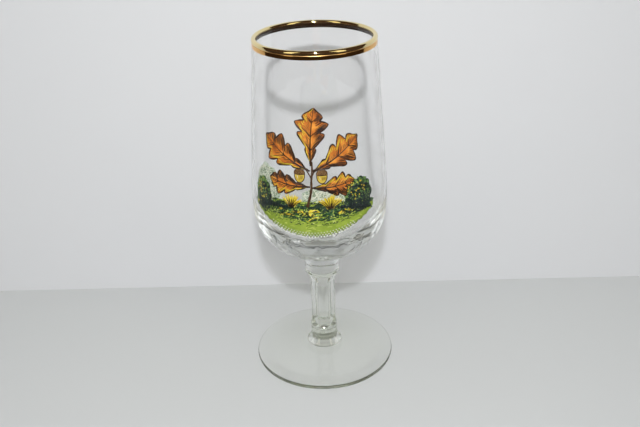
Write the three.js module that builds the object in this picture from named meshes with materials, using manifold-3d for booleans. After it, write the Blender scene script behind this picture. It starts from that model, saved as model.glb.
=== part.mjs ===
import * as THREE from "three";
import Module from "manifold-3d";
import { mergeVertices } from "three/addons/utils/BufferGeometryUtils.js";

// Stemmed glass, in millimetres. Z is up, the foot rests on z = 0, the axis of the glass is the Z axis,
// and the printed side faces -Y.

// Driving sizes: heights of the three glass pieces, which stand one on another
const FOOT_HEIGHT = 14;
const STEM_LENGTH = 34.7;
const BOWL_HEIGHT = 116.3;

// Driving sizes: the bowl
const BELLY_RADIUS = 31.7;
const BELLY_HEIGHT = 43.3; // widest ring, above the bottom of the bowl piece
const UNDERSIDE_DEPTH = 34; // from the widest ring down to where the underside would close
const UNDERSIDE_POWER = 2.88; // 2 is an ellipse, more is fuller
const WELL_DEPTH = 26.6; // from the widest ring down to the deepest point inside
const WELL_POWER = 2.6;
const MOUTH_RADIUS = 27.15; // outside, just under the lip
const WALL = 1.3;
const LIP_RADIUS = 1.05; // the rounded bead at the mouth
const BOSS_RADIUS = 8.45; // the solid neck under the bowl
const BOSS_TIP_RADIUS = 7.5;
const BOSS_FILLET = 4;

// Driving sizes: the stem, with six ground flats
const FLATS = 6;
const SHAFT_FLAT = 5.2; // from the axis to a flat
const SHOULDER_FLAT = 7.36; // the same, at the flare under the bowl
const COLLAR_RADIUS = 6.5;

// Driving sizes: the foot
const FOOT_RADIUS = 34.7;
const FOOT_EDGE = 2;
const HUB_RADIUS = 8;
const CONE_TOP = 6.9; // height of the foot's slope where it meets the hub
const REST_RADIUS = 28.4; // inner radius of the ring that touches the table
const KICK_UP = 2.3;

// Driving sizes: gilding and print, which lie on the glass
const SKIN_GAP = 0.05;
const GOLD_THICKNESS = 0.1;
const GOLD_OUTSIDE = 3.7; // how far the gold reaches down outside
const GOLD_INSIDE = 2.3;
const INK_THICKNESS = 0.09;
const PRINT_ANGLE = 112; // degrees of the belly that the print spans
const PRINT_BASE = 33.7; // lowest ink, above the bottom of the bowl piece
const PRINT_TURN = -7.2; // degrees from the front to the middle of the print

const AROUND = 60; // facets round the axis, a multiple of twice the number of flats

const stemLevel = FOOT_HEIGHT;
const bowlLevel = FOOT_HEIGHT + STEM_LENGTH;
const topLevel = bowlLevel + BOWL_HEIGHT;
const lipTop = topLevel - SKIN_GAP - GOLD_THICKNESS;
const lipCentre = lipTop - LIP_RADIUS;
const crease = lipCentre - LIP_RADIUS * 0.7;
const belly = bowlLevel + BELLY_HEIGHT;

const wasm = await Module();
wasm.setup();

// Small helpers
const mix = (a, b, t) => a + (b - a) * t;
const steps = (n) => Array.from({ length: n + 1 }, (_, i) => i / n);

function smooth(a, b, x) {
  const t = Math.min(1, Math.max(0, (x - a) / (b - a)));
  return t * t * (3 - 2 * t);
}

// Points of a part of an ellipse in the half plane [radius, height], angles in degrees from +radius
function arc(radius, height, a, b, from, to, n) {
  return steps(n).map((t) => {
    const angle = THREE.MathUtils.degToRad(mix(from, to, t));
    return [radius + a * Math.cos(angle), height + b * Math.sin(angle)];
  });
}

// The path moved sideways by a distance, to the right of the way it runs
function offsetPath(path, distance) {
  return path.map(([r, z], i) => {
    const before = path[Math.max(0, i - 1)];
    const after = path[Math.min(path.length - 1, i + 1)];
    const a = new THREE.Vector2(r - before[0], z - before[1]);
    const b = new THREE.Vector2(after[0] - r, after[1] - z);
    const first = a.length() ? a.normalize() : b.clone().normalize();
    const second = b.length() ? b.normalize() : first;
    const across = new THREE.Vector2(first.y + second.y, -first.x - second.x).normalize();
    const miter = distance / (across.x * first.y - across.y * first.x);
    return [r + across.x * miter, z + across.y * miter];
  });
}

// A turned solid from a path of [radius, height]
function turned(path) {
  const points = path.map(([r, z]) => new THREE.Vector2(Math.max(r, 0), z));
  return new THREE.LatheGeometry(points, AROUND).rotateX(Math.PI / 2);
}

// The bowl: outside curve, from the bottom up to the crease under the lip
function outsideRadius(z) {
  if (z >= belly) {
    const share = (z - belly) / (crease - belly);
    const soft = 0.06;
    const drop = (Math.hypot(share, soft) - soft) / (Math.hypot(1, soft) - soft);
    return BELLY_RADIUS - (BELLY_RADIUS - MOUTH_RADIUS) * drop;
  }
  const down = Math.min(1, (belly - z) / UNDERSIDE_DEPTH);
  return BELLY_RADIUS * Math.sqrt(1 - Math.pow(down, UNDERSIDE_POWER));
}

function insideRadius(z) {
  if (z >= belly) return outsideRadius(z) - WALL;
  const down = Math.min(1, (belly - z) / WELL_DEPTH);
  return (BELLY_RADIUS - WALL) * Math.sqrt(1 - Math.pow(down, WELL_POWER));
}

const depthAt = (share, depth, power) => depth * Math.pow(1 - share ** 2, 1 / power);
const filletRadius = BOSS_RADIUS + BOSS_FILLET;
const underside = belly - depthAt(filletRadius / BELLY_RADIUS, UNDERSIDE_DEPTH, UNDERSIDE_POWER);
const lowerOutside = steps(7)
  .slice(1)
  .map((t) => {
    const radius = mix(filletRadius, BELLY_RADIUS, Math.sin((t * Math.PI) / 2));
    return [radius, belly - depthAt(radius / BELLY_RADIUS, UNDERSIDE_DEPTH, UNDERSIDE_POWER)];
  });
const upperOutside = steps(8)
  .slice(1)
  .map((t) => mix(belly, crease, t))
  .map((z) => [outsideRadius(z), z]);
const lip = arc(MOUTH_RADIUS - LIP_RADIUS * 0.85, lipCentre, LIP_RADIUS, LIP_RADIUS, -30, 210, 8);
const rimOutside = [[outsideRadius(crease - 0.25), crease - 0.25], ...lip];
const upperInside = steps(6)
  .map((t) => mix(crease - 1, belly, t))
  .map((z) => [insideRadius(z), z]);
const lowerInside = steps(7)
  .slice(1)
  .map((t) => Math.cos((t * Math.PI) / 2))
  .map((share) => [(BELLY_RADIUS - WALL) * share, belly - depthAt(share, WELL_DEPTH, WELL_POWER)]);
const boss = [
  [0, bowlLevel],
  [BOSS_TIP_RADIUS, bowlLevel],
  [mix(BOSS_TIP_RADIUS, BOSS_RADIUS, 0.7), bowlLevel + 0.8],
  [BOSS_RADIUS, bowlLevel + 2.6],
  ...arc(filletRadius, underside - BOSS_FILLET, BOSS_FILLET, BOSS_FILLET, 180, 100, 4),
];
const bowlGeometry = turned([
  ...boss,
  ...lowerOutside,
  ...upperOutside.slice(0, -1),
  ...rimOutside,
  ...upperInside,
  ...lowerInside,
]);

// The stem: a round blank with six flats, drawn as rings that keep whichever is nearer the axis
function blankRadius(z) {
  const up = (z - stemLevel) / STEM_LENGTH;
  const shoulder = mix(SHAFT_FLAT * 1.16, SHOULDER_FLAT * 1.16, smooth(0.8, 0.965, up));
  const tip = mix(shoulder, BOSS_TIP_RADIUS, smooth(0.965, 1, up));
  return mix(COLLAR_RADIUS, tip, smooth(0.05, 0.16, up));
}

function flatDistance(z) {
  const up = (z - stemLevel) / STEM_LENGTH;
  const flare = mix(SHAFT_FLAT, SHOULDER_FLAT, smooth(0.8, 0.965, up));
  const runOut = (1 - smooth(0.06, 0.2, up)) * 2.2 + smooth(0.93, 1, up) * 2;
  return flare + runOut;
}

function stemGeometry() {
  const levels = [0, 0.04, 0.08, 0.12, 0.16, 0.2, 0.3, 0.55, 0.8, 0.835, 0.865, 0.895, 0.925, 0.965, 0.985, 1];
  const positions = [0, 0, stemLevel];
  for (const level of levels) {
    const z = mix(stemLevel, bowlLevel, level);
    for (let i = 0; i < AROUND; i++) {
      const turn = (i / AROUND) * 2 * Math.PI;
      const sector = (2 * Math.PI) / FLATS;
      const fromFlat = ((turn + sector / 2) % sector) - sector / 2;
      const radius = Math.min(blankRadius(z), flatDistance(z) / Math.cos(fromFlat));
      positions.push(radius * Math.sin(turn), -radius * Math.cos(turn), z);
    }
  }
  positions.push(0, 0, bowlLevel);
  const last = positions.length / 3 - 1;
  const index = [];
  const at = (row, i) => 1 + row * AROUND + (i % AROUND);
  for (let i = 0; i < AROUND; i++) {
    index.push(0, at(0, i + 1), at(0, i));
    index.push(last, at(levels.length - 1, i), at(levels.length - 1, i + 1));
    for (let row = 0; row < levels.length - 1; row++) {
      index.push(at(row, i), at(row, i + 1), at(row + 1, i + 1));
      index.push(at(row, i), at(row + 1, i + 1), at(row + 1, i));
    }
  }
  const geometry = new THREE.BufferGeometry();
  geometry.setAttribute("position", new THREE.Float32BufferAttribute(positions, 3));
  geometry.setIndex(index);
  return geometry;
}

// The foot: a resting ring, a shallow hollow under it, a sloping top and the hub
const edgeRadius = FOOT_EDGE / 2;
const footGeometry = turned([
  [0, KICK_UP],
  [REST_RADIUS * 0.4, KICK_UP * 0.92],
  [REST_RADIUS * 0.75, KICK_UP * 0.6],
  [REST_RADIUS * 0.93, KICK_UP * 0.2],
  [REST_RADIUS, 0],
  [FOOT_RADIUS - edgeRadius, 0],
  ...arc(FOOT_RADIUS - edgeRadius, edgeRadius, edgeRadius, edgeRadius, -60, 70, 4),
  [mix(FOOT_RADIUS, HUB_RADIUS, 0.3), mix(FOOT_EDGE, CONE_TOP, 0.27)],
  [mix(FOOT_RADIUS, HUB_RADIUS, 0.65), mix(FOOT_EDGE, CONE_TOP, 0.6)],
  [mix(FOOT_RADIUS, HUB_RADIUS, 0.88), mix(FOOT_EDGE, CONE_TOP, 0.86)],
  [HUB_RADIUS + 1.2, CONE_TOP],
  [HUB_RADIUS + 0.2, mix(CONE_TOP, FOOT_HEIGHT, 0.16)],
  [HUB_RADIUS, mix(CONE_TOP, FOOT_HEIGHT, 0.4)],
  [mix(HUB_RADIUS, COLLAR_RADIUS, 0.4), mix(CONE_TOP, FOOT_HEIGHT, 0.75)],
  [COLLAR_RADIUS, FOOT_HEIGHT],
  [0, FOOT_HEIGHT],
]);

// The gilding: one skin that wraps the lip, down a band outside and to just under the bead inside
const goldBottom = topLevel - GOLD_OUTSIDE;
const goldInner = topLevel - GOLD_INSIDE;
const lipEnd = lip[lip.length - 1];
const wallStart = upperInside[0];
const innerShare = (lipEnd[1] - goldInner) / (lipEnd[1] - wallStart[1]);
const gildedPath = [
  [outsideRadius(goldBottom), goldBottom],
  ...rimOutside,
  [mix(lipEnd[0], wallStart[0], innerShare), goldInner],
];
const goldGeometry = turned([
  ...offsetPath(gildedPath, SKIN_GAP + GOLD_THICKNESS),
  ...offsetPath(gildedPath, SKIN_GAP).reverse(),
  offsetPath(gildedPath, SKIN_GAP + GOLD_THICKNESS)[0],
]);

// Manifold solids for the print
function solidOf(geometry) {
  const bare = new THREE.BufferGeometry();
  bare.setAttribute("position", geometry.getAttribute("position"));
  bare.setIndex(geometry.index);
  const merged = mergeVertices(bare, 1e-4);
  const mesh = new wasm.Mesh({
    numProp: 3,
    vertProperties: merged.attributes.position.array,
    triVerts: new Uint32Array(merged.index.array),
  });
  return new wasm.Manifold(mesh);
}

function geometryOf(solid) {
  const { vertProperties, triVerts } = solid.getMesh();
  const geometry = new THREE.BufferGeometry();
  geometry.setAttribute("position", new THREE.Float32BufferAttribute(vertProperties, 3));
  geometry.setIndex(new THREE.BufferAttribute(triVerts, 1));
  return geometry;
}

// Ink lies in thin shells round the bowl. A later colour lies over an earlier one.
const printRows = [
  [outsideRadius(belly - 8), belly - 8],
  ...lowerOutside,
  ...upperOutside.slice(0, -1),
].filter(([, z]) => z > belly - 12);
function inkShell(layer) {
  const near = SKIN_GAP + layer * (INK_THICKNESS + SKIN_GAP);
  const far = near + INK_THICKNESS;
  const outer = printRows.map(([r, z]) => [r + far, z]);
  const inner = printRows.map(([r, z]) => [r + near, z]).reverse();
  return solidOf(turned([...outer, ...inner, outer[0]]));
}

// A stamp is an outline [x, y], x along the glass and y up it, carried out from the axis as a wedge.
// Outlines are drawn for a print 62 wide, and follow the belly's size.
const printWidth = BELLY_RADIUS * THREE.MathUtils.degToRad(PRINT_ANGLE);
const drawn = (value) => (value * printWidth) / 62;
function stamp(outline, layer) {
  const flat = outline.map(([x, y]) => new THREE.Vector2(x, y));
  if (THREE.ShapeUtils.isClockWise(flat)) flat.reverse();
  const count = flat.length;
  const positions = [];
  for (const reach of [0.6, 1.6]) {
    for (const { x, y } of flat) {
      const turn = drawn(x) / BELLY_RADIUS + THREE.MathUtils.degToRad(PRINT_TURN);
      const radius = BELLY_RADIUS * reach;
      const z = bowlLevel + PRINT_BASE + drawn(y);
      positions.push(radius * Math.sin(turn), -radius * Math.cos(turn), z);
    }
  }
  const index = [];
  for (const [a, b, c] of THREE.ShapeUtils.triangulateShape(flat, [])) {
    index.push(c, b, a, a + count, b + count, c + count);
  }
  for (let i = 0; i < count; i++) {
    const j = (i + 1) % count;
    index.push(i, j, j + count, i, j + count, i + count);
  }
  const geometry = new THREE.BufferGeometry();
  geometry.setAttribute("position", new THREE.Float32BufferAttribute(positions, 3));
  geometry.setIndex(index);
  return geometryOf(solidOf(geometry).intersect(inkShell(layer)));
}

// Outlines of the motifs. A leaf has round lobes that lean towards its tip.
function leafOutline(x, y, angle, length, width, bend) {
  const lobes = 4;
  const side = (sign) =>
    steps(20).map((t) => {
      const body = Math.sin(Math.PI * Math.pow(t, 1.3));
      const lobe = 0.5 + 0.5 * Math.abs(Math.sin(Math.PI * lobes * t)) ** 0.8;
      const across = 0.5 * width * Math.max(body * lobe, 0.04);
      return [t * length + 0.9 * across * (1 - t), sign * across + bend * Math.sin(Math.PI * t)];
    });
  const turn = THREE.MathUtils.degToRad(angle);
  return [...side(-1), ...side(1).reverse()].map(([a, b]) => [
    x + a * Math.cos(turn) - b * Math.sin(turn),
    y + a * Math.sin(turn) + b * Math.cos(turn),
  ]);
}

function ovalOutline(x, y, halfWidth, halfHeight, bumps, depth, n) {
  return steps(n)
    .slice(1)
    .map((t) => {
      const turn = t * 2 * Math.PI;
      const swell = 1 + depth * Math.cos(bumps * turn);
      return [x + halfWidth * swell * Math.cos(turn), y + halfHeight * swell * Math.sin(turn)];
    });
}

function groundOutline() {
  const half = 31;
  const upper = steps(14).map((t) => [
    mix(half, -half, t),
    11.5 + 6.5 * Math.sin(Math.PI * t) ** 0.5 + 0.5 * Math.sin(9 * t),
  ]);
  const lower = steps(16)
    .slice(1, -1)
    .map((t) => [mix(-half, half, t), 10.5 - 10.5 * Math.sin(Math.PI * t) ** 0.8]);
  return [...upper, ...lower];
}

function tuftOutline(x, y, width, height, blades) {
  const tips = [];
  for (let i = 0; i < blades; i++) {
    const share = (i + 0.5) / blades - 0.5;
    tips.push([x - share * width * 1.25, y + height * (1 - Math.abs(share))]);
    if (i < blades - 1) tips.push([x - (share + 0.5 / blades) * width * 0.9, y + height * 0.35]);
  }
  return [[x - width * 0.4, y], [x + width * 0.4, y], ...tips];
}

function twigOutline(points, thickness) {
  const left = points.map(([x, y]) => [x - thickness / 2, y]);
  const right = points.map(([x, y]) => [x + thickness / 2, y]);
  return [...left, ...right.reverse()];
}

const prints = [
  ["print_hills_left", "inkPale", 0, ovalOutline(-22, 21, 7.5, 11, 7, 0.06, 28)],
  ["print_hills_right", "inkPale", 0, ovalOutline(10, 19.5, 14, 5.5, 9, 0.05, 32)],
  ["print_ground", "inkGreen", 1, groundOutline()],
  ["print_shrub_left", "inkDark", 2, ovalOutline(-25, 17, 5.3, 8.3, 9, 0.06, 28)],
  ["print_shrub_right", "inkDark", 2, ovalOutline(22.5, 18, 7.2, 8.2, 9, 0.06, 28)],
  ["print_tuft_left", "inkYellow", 2, tuftOutline(-9, 14.5, 10, 6.5, 5)],
  ["print_tuft_right", "inkYellow", 2, tuftOutline(8.5, 14, 11, 7, 5)],
  ["print_leaf_top", "inkOrange", 1, leafOutline(0.3, 34.5, 85, 25, 16, 0.8)],
  ["print_leaf_left", "inkOrange", 2, leafOutline(-0.6, 32, 148, 26, 15, 1)],
  ["print_leaf_right", "inkOrange", 2, leafOutline(1.2, 31.5, 33, 26, 15, -1)],
  ["print_leaf_low_left", "inkOrange", 1, leafOutline(-0.6, 24.5, 174, 20, 11.5, 0.8)],
  ["print_leaf_low_right", "inkOrange", 1, leafOutline(1, 24, 6, 19.5, 11.5, -0.8)],
  ["print_twig", "inkDark", 3, twigOutline([[-1.5, 15], [0.4, 21], [0.4, 28], [0.3, 36]], 1.1)],
  ["print_acorn_left", "inkYellow", 4, ovalOutline(-4.8, 29.6, 2.3, 3.2, 2, 0.03, 16)],
  ["print_acorn_right", "inkYellow", 4, ovalOutline(5.2, 29.2, 2.3, 3.2, 2, 0.03, 16)],
];

// Materials
function finish(color, roughness, metalness = 0, opacity = 1) {
  return new THREE.MeshStandardMaterial({
    color,
    roughness,
    metalness,
    opacity,
    transparent: opacity < 1,
  });
}

const finishes = {
  glass: () => finish(0xdfe5e1, 0.03, 0, 0.35),
  gold: () => finish(0xc79a3c, 0.15, 1),
  inkPale: () => finish(0xa3ad9c, 0.35),
  inkGreen: () => finish(0x6f8a2c, 0.35),
  inkDark: () => finish(0x1f3a24, 0.35),
  inkYellow: () => finish(0xd9b51e, 0.35),
  inkOrange: () => finish(0xb8651a, 0.35),
};

const group = new THREE.Group();
function add(name, geometry, look) {
  const mesh = new THREE.Mesh(geometry, finishes[look]());
  mesh.name = name;
  group.add(mesh);
}

add("foot", footGeometry, "glass");
add("stem", stemGeometry(), "glass");
add("bowl", bowlGeometry, "glass");
add("rim_gilding", goldGeometry, "gold");
for (const [name, look, layer, outline] of prints) add(name, stamp(outline, layer), look);

export default group;
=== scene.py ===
# %% [markdown]
# A stemmed beer glass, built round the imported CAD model. The CAD model gives the exact sizes and the
# names of the pieces. This script swaps its faceted solids for smooth surfaces of the same size, gives
# each a finish, and sets up the floor, the lights and the camera.

# %% Load the frame
import bpy
import math
import numpy as np
from mathutils import Matrix


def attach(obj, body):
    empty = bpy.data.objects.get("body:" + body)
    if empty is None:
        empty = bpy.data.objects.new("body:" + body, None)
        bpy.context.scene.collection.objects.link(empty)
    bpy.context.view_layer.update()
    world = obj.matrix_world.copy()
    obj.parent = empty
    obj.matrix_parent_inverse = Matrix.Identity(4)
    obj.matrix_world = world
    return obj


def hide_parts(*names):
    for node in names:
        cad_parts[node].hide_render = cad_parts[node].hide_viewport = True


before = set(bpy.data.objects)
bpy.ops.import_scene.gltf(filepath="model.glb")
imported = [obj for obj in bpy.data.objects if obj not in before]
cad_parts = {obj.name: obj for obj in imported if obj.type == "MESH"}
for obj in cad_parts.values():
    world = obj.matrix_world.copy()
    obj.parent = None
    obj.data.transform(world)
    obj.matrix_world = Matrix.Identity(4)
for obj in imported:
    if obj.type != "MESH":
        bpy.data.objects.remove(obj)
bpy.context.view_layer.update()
print("CAD pieces:", len(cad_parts))

# %% [markdown]
# Every piece is worked out in millimetres, as on a drawing, and turned to metres when its mesh is made.
# A closed skin is two grids, front and back, joined along their edges. A turned piece is one path
# carried round the axis. Where two pieces of glass are fused, each ends in a flat face, marked by the
# number "joint".

# %% Mesh helpers
MM = 0.001


def add_object(name, data):
    """An object in the scene that shows this mesh, lamp or camera."""
    thing = bpy.data.objects.new(name, data)
    bpy.context.scene.collection.objects.link(thing)
    return thing


def mark_joint(mesh, faces, joint):
    """Gives the fused faces the number 1 and makes the edges between them and the skin sharp."""
    mark = mesh.attributes.new("joint", "FLOAT", "FACE")
    mark.data.foreach_set("value", joint.astype(np.float32))
    ends = np.empty(len(mesh.edges) * 2, np.int32)
    mesh.edges.foreach_get("vertices", ends)
    on_border = np.isin(ends, np.intersect1d(faces[joint], faces[~joint]))
    sharp = mesh.attributes.new("sharp_edge", "BOOLEAN", "EDGE")
    sharp.data.foreach_set("value", on_border.reshape(-1, 2).all(1))


def make_piece(name, points, faces, nodes, slot, uv=None, joint=None):
    """A mesh object from points in mm and faces, riding on the glass and standing for the named CAD nodes."""
    mesh = bpy.data.meshes.new(name)
    mesh.from_pydata((points * MM).tolist(), [], faces.tolist())
    mesh.shade_smooth()
    if uv is not None:
        layer = mesh.uv_layers.new(name="UVMap")
        layer.data.foreach_set("uv", uv[faces.ravel()].astype(np.float32).ravel())
    if joint is not None:
        mark_joint(mesh, faces, joint)
    mesh.validate()
    piece = add_object(name, mesh)
    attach(piece, "root")
    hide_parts(*nodes)
    print(name, len(points), "points,", len(faces), "faces")
    return piece


print("lengths in units of", MM, "m")

# %% Turned surfaces
AROUND = 192
turns = np.arange(AROUND) * 2 * np.pi / AROUND


def steps(count):
    """Evenly spaced numbers from 0 to 1."""
    return np.linspace(0, 1, count)


def grid_faces(rows, columns, closed):
    """Quads between neighbours on a grid of points, row by row; closed joins the last column to the first."""
    row = np.arange(rows - 1)[:, None] * columns
    column = np.arange(columns if closed else columns - 1)[None, :]
    after = (column + 1) % columns
    quads = np.stack([row + column, row + after, row + columns + after, row + columns + column], -1)
    return quads.reshape(-1, 4)


def round_axis(radius, turn, height):
    """Points by their turn from the front: x = r sin(turn), y = -r cos(turn), z = height."""
    return np.stack(np.broadcast_arrays(radius * np.sin(turn), -radius * np.cos(turn), height), -1)


def turned_points(path):
    """Each point (radius, height) of the path at each turn."""
    return round_axis(path[:, :1], turns, path[:, 1:])


def make_glass(name, node, rings, low_joint, high_joint):
    """A piece of glass over a grid of rings, each end closed by a fan round its middle, joint or not."""
    rows, columns = rings.shape[:2]
    quads = grid_faces(rows, columns, True)
    first, last = rows * columns, rows * columns + 1
    i = np.arange(columns)
    j = (i + 1) % columns
    start = (rows - 1) * columns
    low = np.stack([np.full(columns, first), j, i], -1)
    high = np.stack([np.full(columns, last), start + i, start + j], -1)
    points = np.vstack([rings.reshape(-1, 3), rings[0].mean(0), rings[-1].mean(0)])
    faces = np.vstack([quads[:, [0, 1, 2]], quads[:, [0, 2, 3]], low, high])
    joint = np.zeros(len(faces), bool)
    joint[-2 * columns:-columns] = low_joint
    joint[-columns:] = high_joint
    return make_piece(name, points, faces, [node], "clear_glass", joint=joint)


def arc(radius, height, size, start, end, count):
    """A circular arc in the half plane (radius, height), angles in degrees from the outward direction."""
    angle = np.radians(np.linspace(start, end, count))
    return np.stack([radius + size * np.cos(angle), height + size * np.sin(angle)], -1)


def ease(a, b, x):
    """A smooth step from 0 at a to 1 at b."""
    t = np.clip((np.asarray(x, float) - a) / (b - a), 0, 1)
    return t * t * (3 - 2 * t)


print(AROUND, "steps round the axis")

# %% [markdown]
# The bowl is blown into a mould and is one piece of glass with the solid neck under it. Its wall is
# thin at the mouth and thick at the bottom. The curve outside is a soft bend at the widest ring that
# runs almost straight to the mouth; below that ring it is close to an ellipse. The same formulas are in
# the CAD source. Here the bottom of the well gets the slight waves of blown glass, which break up what
# is seen through the base. A noise would do that too, but a sum of a few cosines round the axis closes
# on itself and gives streaks that run outwards.

# %% The bowl's sizes and curves, in mm
FOOT_TOP, NECK, TOP = 14.0, 48.7, 165.0
BELLY, BELLY_R, MOUTH_R = 92.0, 31.7, 27.15
UNDER_DEPTH, UNDER_POWER = 34.0, 2.88
WELL_DEPTH, WELL_POWER = 26.6, 2.6
WALL, LIP_R = 1.3, 1.05
LIP_CENTRE = TOP - 0.15 - LIP_R
CREASE = LIP_CENTRE - LIP_R * 0.7
WALL_END = CREASE - 0.35  # the wall outside ends here, and the groove under the bead begins
BOSS_R, BOSS_TIP_R, FILLET = 8.45, 7.5, 4.0
SEAM = 0.01  # half the gap left at a fused face
BEND = 0.06  # how softly the wall turns at the widest ring
# Each wave round the bottom of the well: how many, height in mm, phase and drift towards the middle.
WELL_WAVES = [
    (7, 0.12, 0.4, 3),
    (11, 0.12, 2.1, -7),
    (17, 0.11, 4.0, 10),
    (27, 0.07, 1.0, -16),
    (41, 0.03, 2.5, 20),
]


def outside_radius(z):
    """Above the belly, the radius falls along a hyperbola to the mouth; below it, r = R sqrt(1 - d^power)."""
    z = np.asarray(z, float)
    share = np.clip((z - BELLY) / (CREASE - BELLY), 0, None)
    drop = (np.hypot(share, BEND) - BEND) / (math.hypot(1, BEND) - BEND)
    down = np.clip((BELLY - z) / UNDER_DEPTH, 0, 1)
    below = BELLY_R * np.sqrt(1 - down**UNDER_POWER)
    return np.where(z >= BELLY, BELLY_R - (BELLY_R - MOUTH_R) * drop, below)


def inside_radius(z):
    """A wall's thickness inside the outside curve; below the belly a shallower one, for a thick bottom."""
    z = np.asarray(z, float)
    down = np.clip((BELLY - z) / WELL_DEPTH, 0, 1)
    return np.where(z >= BELLY, outside_radius(z) - WALL, (BELLY_R - WALL) * np.sqrt(1 - down**WELL_POWER))


def under_height(radius, widest, depth, power):
    """The height of the underside or the well at a radius, which is the same curve solved the other way."""
    return BELLY - depth * (1 - (radius / widest) ** 2) ** (1 / power)


print("the mouth is", 2 * MOUTH_R, "mm and the belly", 2 * BELLY_R, "mm across")

# %% Bowl surface
fillet_r = BOSS_R + FILLET
underside = under_height(fillet_r, BELLY_R, UNDER_DEPTH, UNDER_POWER)
sweep = np.sin(np.linspace(0, np.pi / 2, 70)[1:])
lower_r = fillet_r + (BELLY_R - fillet_r) * sweep
lower = np.stack([lower_r, under_height(lower_r, BELLY_R, UNDER_DEPTH, UNDER_POWER)], -1)
upper_z = BELLY + (WALL_END - BELLY) * steps(70)[1:] ** 1.3
upper = np.stack([outside_radius(upper_z), upper_z], -1)
lip = arc(MOUTH_R - LIP_R * 0.85, LIP_CENTRE, LIP_R, -44, 210, 40)
t = steps(6)[1:-1, None]
groove_pull = np.array([MOUTH_R, CREASE - 0.05])
groove = upper[-1] * (1 - t) ** 2 + groove_pull * 2 * t * (1 - t) + lip[0] * t**2
blend = steps(9)[1:]
wall_top = CREASE - 1
step_z = lip[-1, 1] + (wall_top - lip[-1, 1]) * blend
eased = ease(-0.5, 1, blend)
step_r = lip[-1, 0] + (inside_radius(wall_top) - lip[-1, 0]) * (eased - eased[0]) / (1 - eased[0])
lip_step = np.stack([step_r, step_z], -1)
inside_z = wall_top + (BELLY - wall_top) * steps(60)[1:] ** 0.8
inner = np.stack([inside_radius(inside_z), inside_z], -1)
well_r = (BELLY_R - WALL) * np.cos(np.linspace(0, np.pi / 2, 90)[1:-1])
well = np.stack([well_r, under_height(well_r, BELLY_R - WALL, WELL_DEPTH, WELL_POWER)], -1)
neck_up = steps(14) ** 1.6
neck_r = BOSS_TIP_R + (BOSS_R - BOSS_TIP_R) * np.sqrt(1 - (1 - neck_up) ** 2.2)
neck = np.stack([neck_r, NECK + SEAM + 3 * neck_up], -1)
fillet = arc(fillet_r, underside - FILLET, FILLET, 180, 97, 18)
bowl_path = np.vstack([neck, fillet, lower, upper, groove, lip, lip_step, inner, well])
bowl_grid = turned_points(bowl_path)
first_well = len(bowl_path) - len(well)
depth_share = steps(len(well))[:, None]
uneven = np.zeros((len(well), AROUND))
for waves, size, phase, drift in WELL_WAVES:
    uneven += size * np.cos(waves * turns + phase + drift * depth_share)
uneven *= ease(0.02, 0.3, depth_share) * ease(1, 0.75, depth_share)
bowl_grid[first_well:, :, 2] += uneven
bowl = make_glass("bowl_glass", "bowl", bowl_grid, True, False)

# %% [markdown]
# The stem is pressed round and then ground with six flats, each a little hollow. Planes could cut a
# round blank, but would leave knife edges. At each height and turn the surface is whichever is nearer
# the axis, the round blank or the flat, so the flats end in curved arcs by themselves. A soft minimum
# leaves the slight roundness that polishing gives an edge.

# %% Stem surface
SHAFT_FLAT, SHOULDER_FLAT, COLLAR_R = 5.2, 7.36, 6.5
FLAT_SIDES, SHARPNESS, HOLLOW = 6, 22, 0.3
BLANK_AT_SHAFT, BLANK_AT_SHOULDER = 1.13, 1.16  # the round blank against the flats
LOW_RUN_OUT, HIGH_RUN_OUT = 2.2, 2.0  # how far the flats leave the blank at both ends, in mm


def stem_radius(up, turn):
    """Soft minimum of the blank's radius and flat / cos(angle from the middle of the nearest flat)."""
    flare = (SHOULDER_FLAT - SHAFT_FLAT) * ease(0.8, 0.965, up)
    shoulder = SHAFT_FLAT * BLANK_AT_SHAFT + flare * BLANK_AT_SHOULDER
    tip = shoulder + (BOSS_TIP_R - shoulder) * ease(0.965, 1, up)
    blank = COLLAR_R + (tip - COLLAR_R) * ease(0.05, 0.16, up)
    flat = SHAFT_FLAT + flare + (1 - ease(0.03, 0.13, up)) * LOW_RUN_OUT + ease(0.93, 1, up) * HIGH_RUN_OUT
    sector = 2 * np.pi / FLAT_SIDES
    from_flat = (turn + sector / 2) % sector - sector / 2
    flat = flat - HOLLOW * (1 - (2 * from_flat / sector) ** 2)
    return -np.log(np.exp(-blank * SHARPNESS) + np.exp(-flat / np.cos(from_flat) * SHARPNESS)) / SHARPNESS


stem_up = steps(200)
stem_turns = np.arange(240) * 2 * np.pi / 240
stem_r = stem_radius(stem_up[:, None], stem_turns[None, :])
stem_z = FOOT_TOP + SEAM + (NECK - FOOT_TOP - 2 * SEAM) * stem_up[:, None]
stem = make_glass("stem_glass", "stem", round_axis(stem_r, stem_turns, stem_z), True, True)

# %% [markdown]
# The foot is a pressed disc. Only a ring near its edge touches the table, the middle is raised a
# little, and the top slopes gently up to the hub. The hub runs into it with a soft step, which a bevel
# couldn't give, because it has to swell out and be upright again where it meets the slope.

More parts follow.
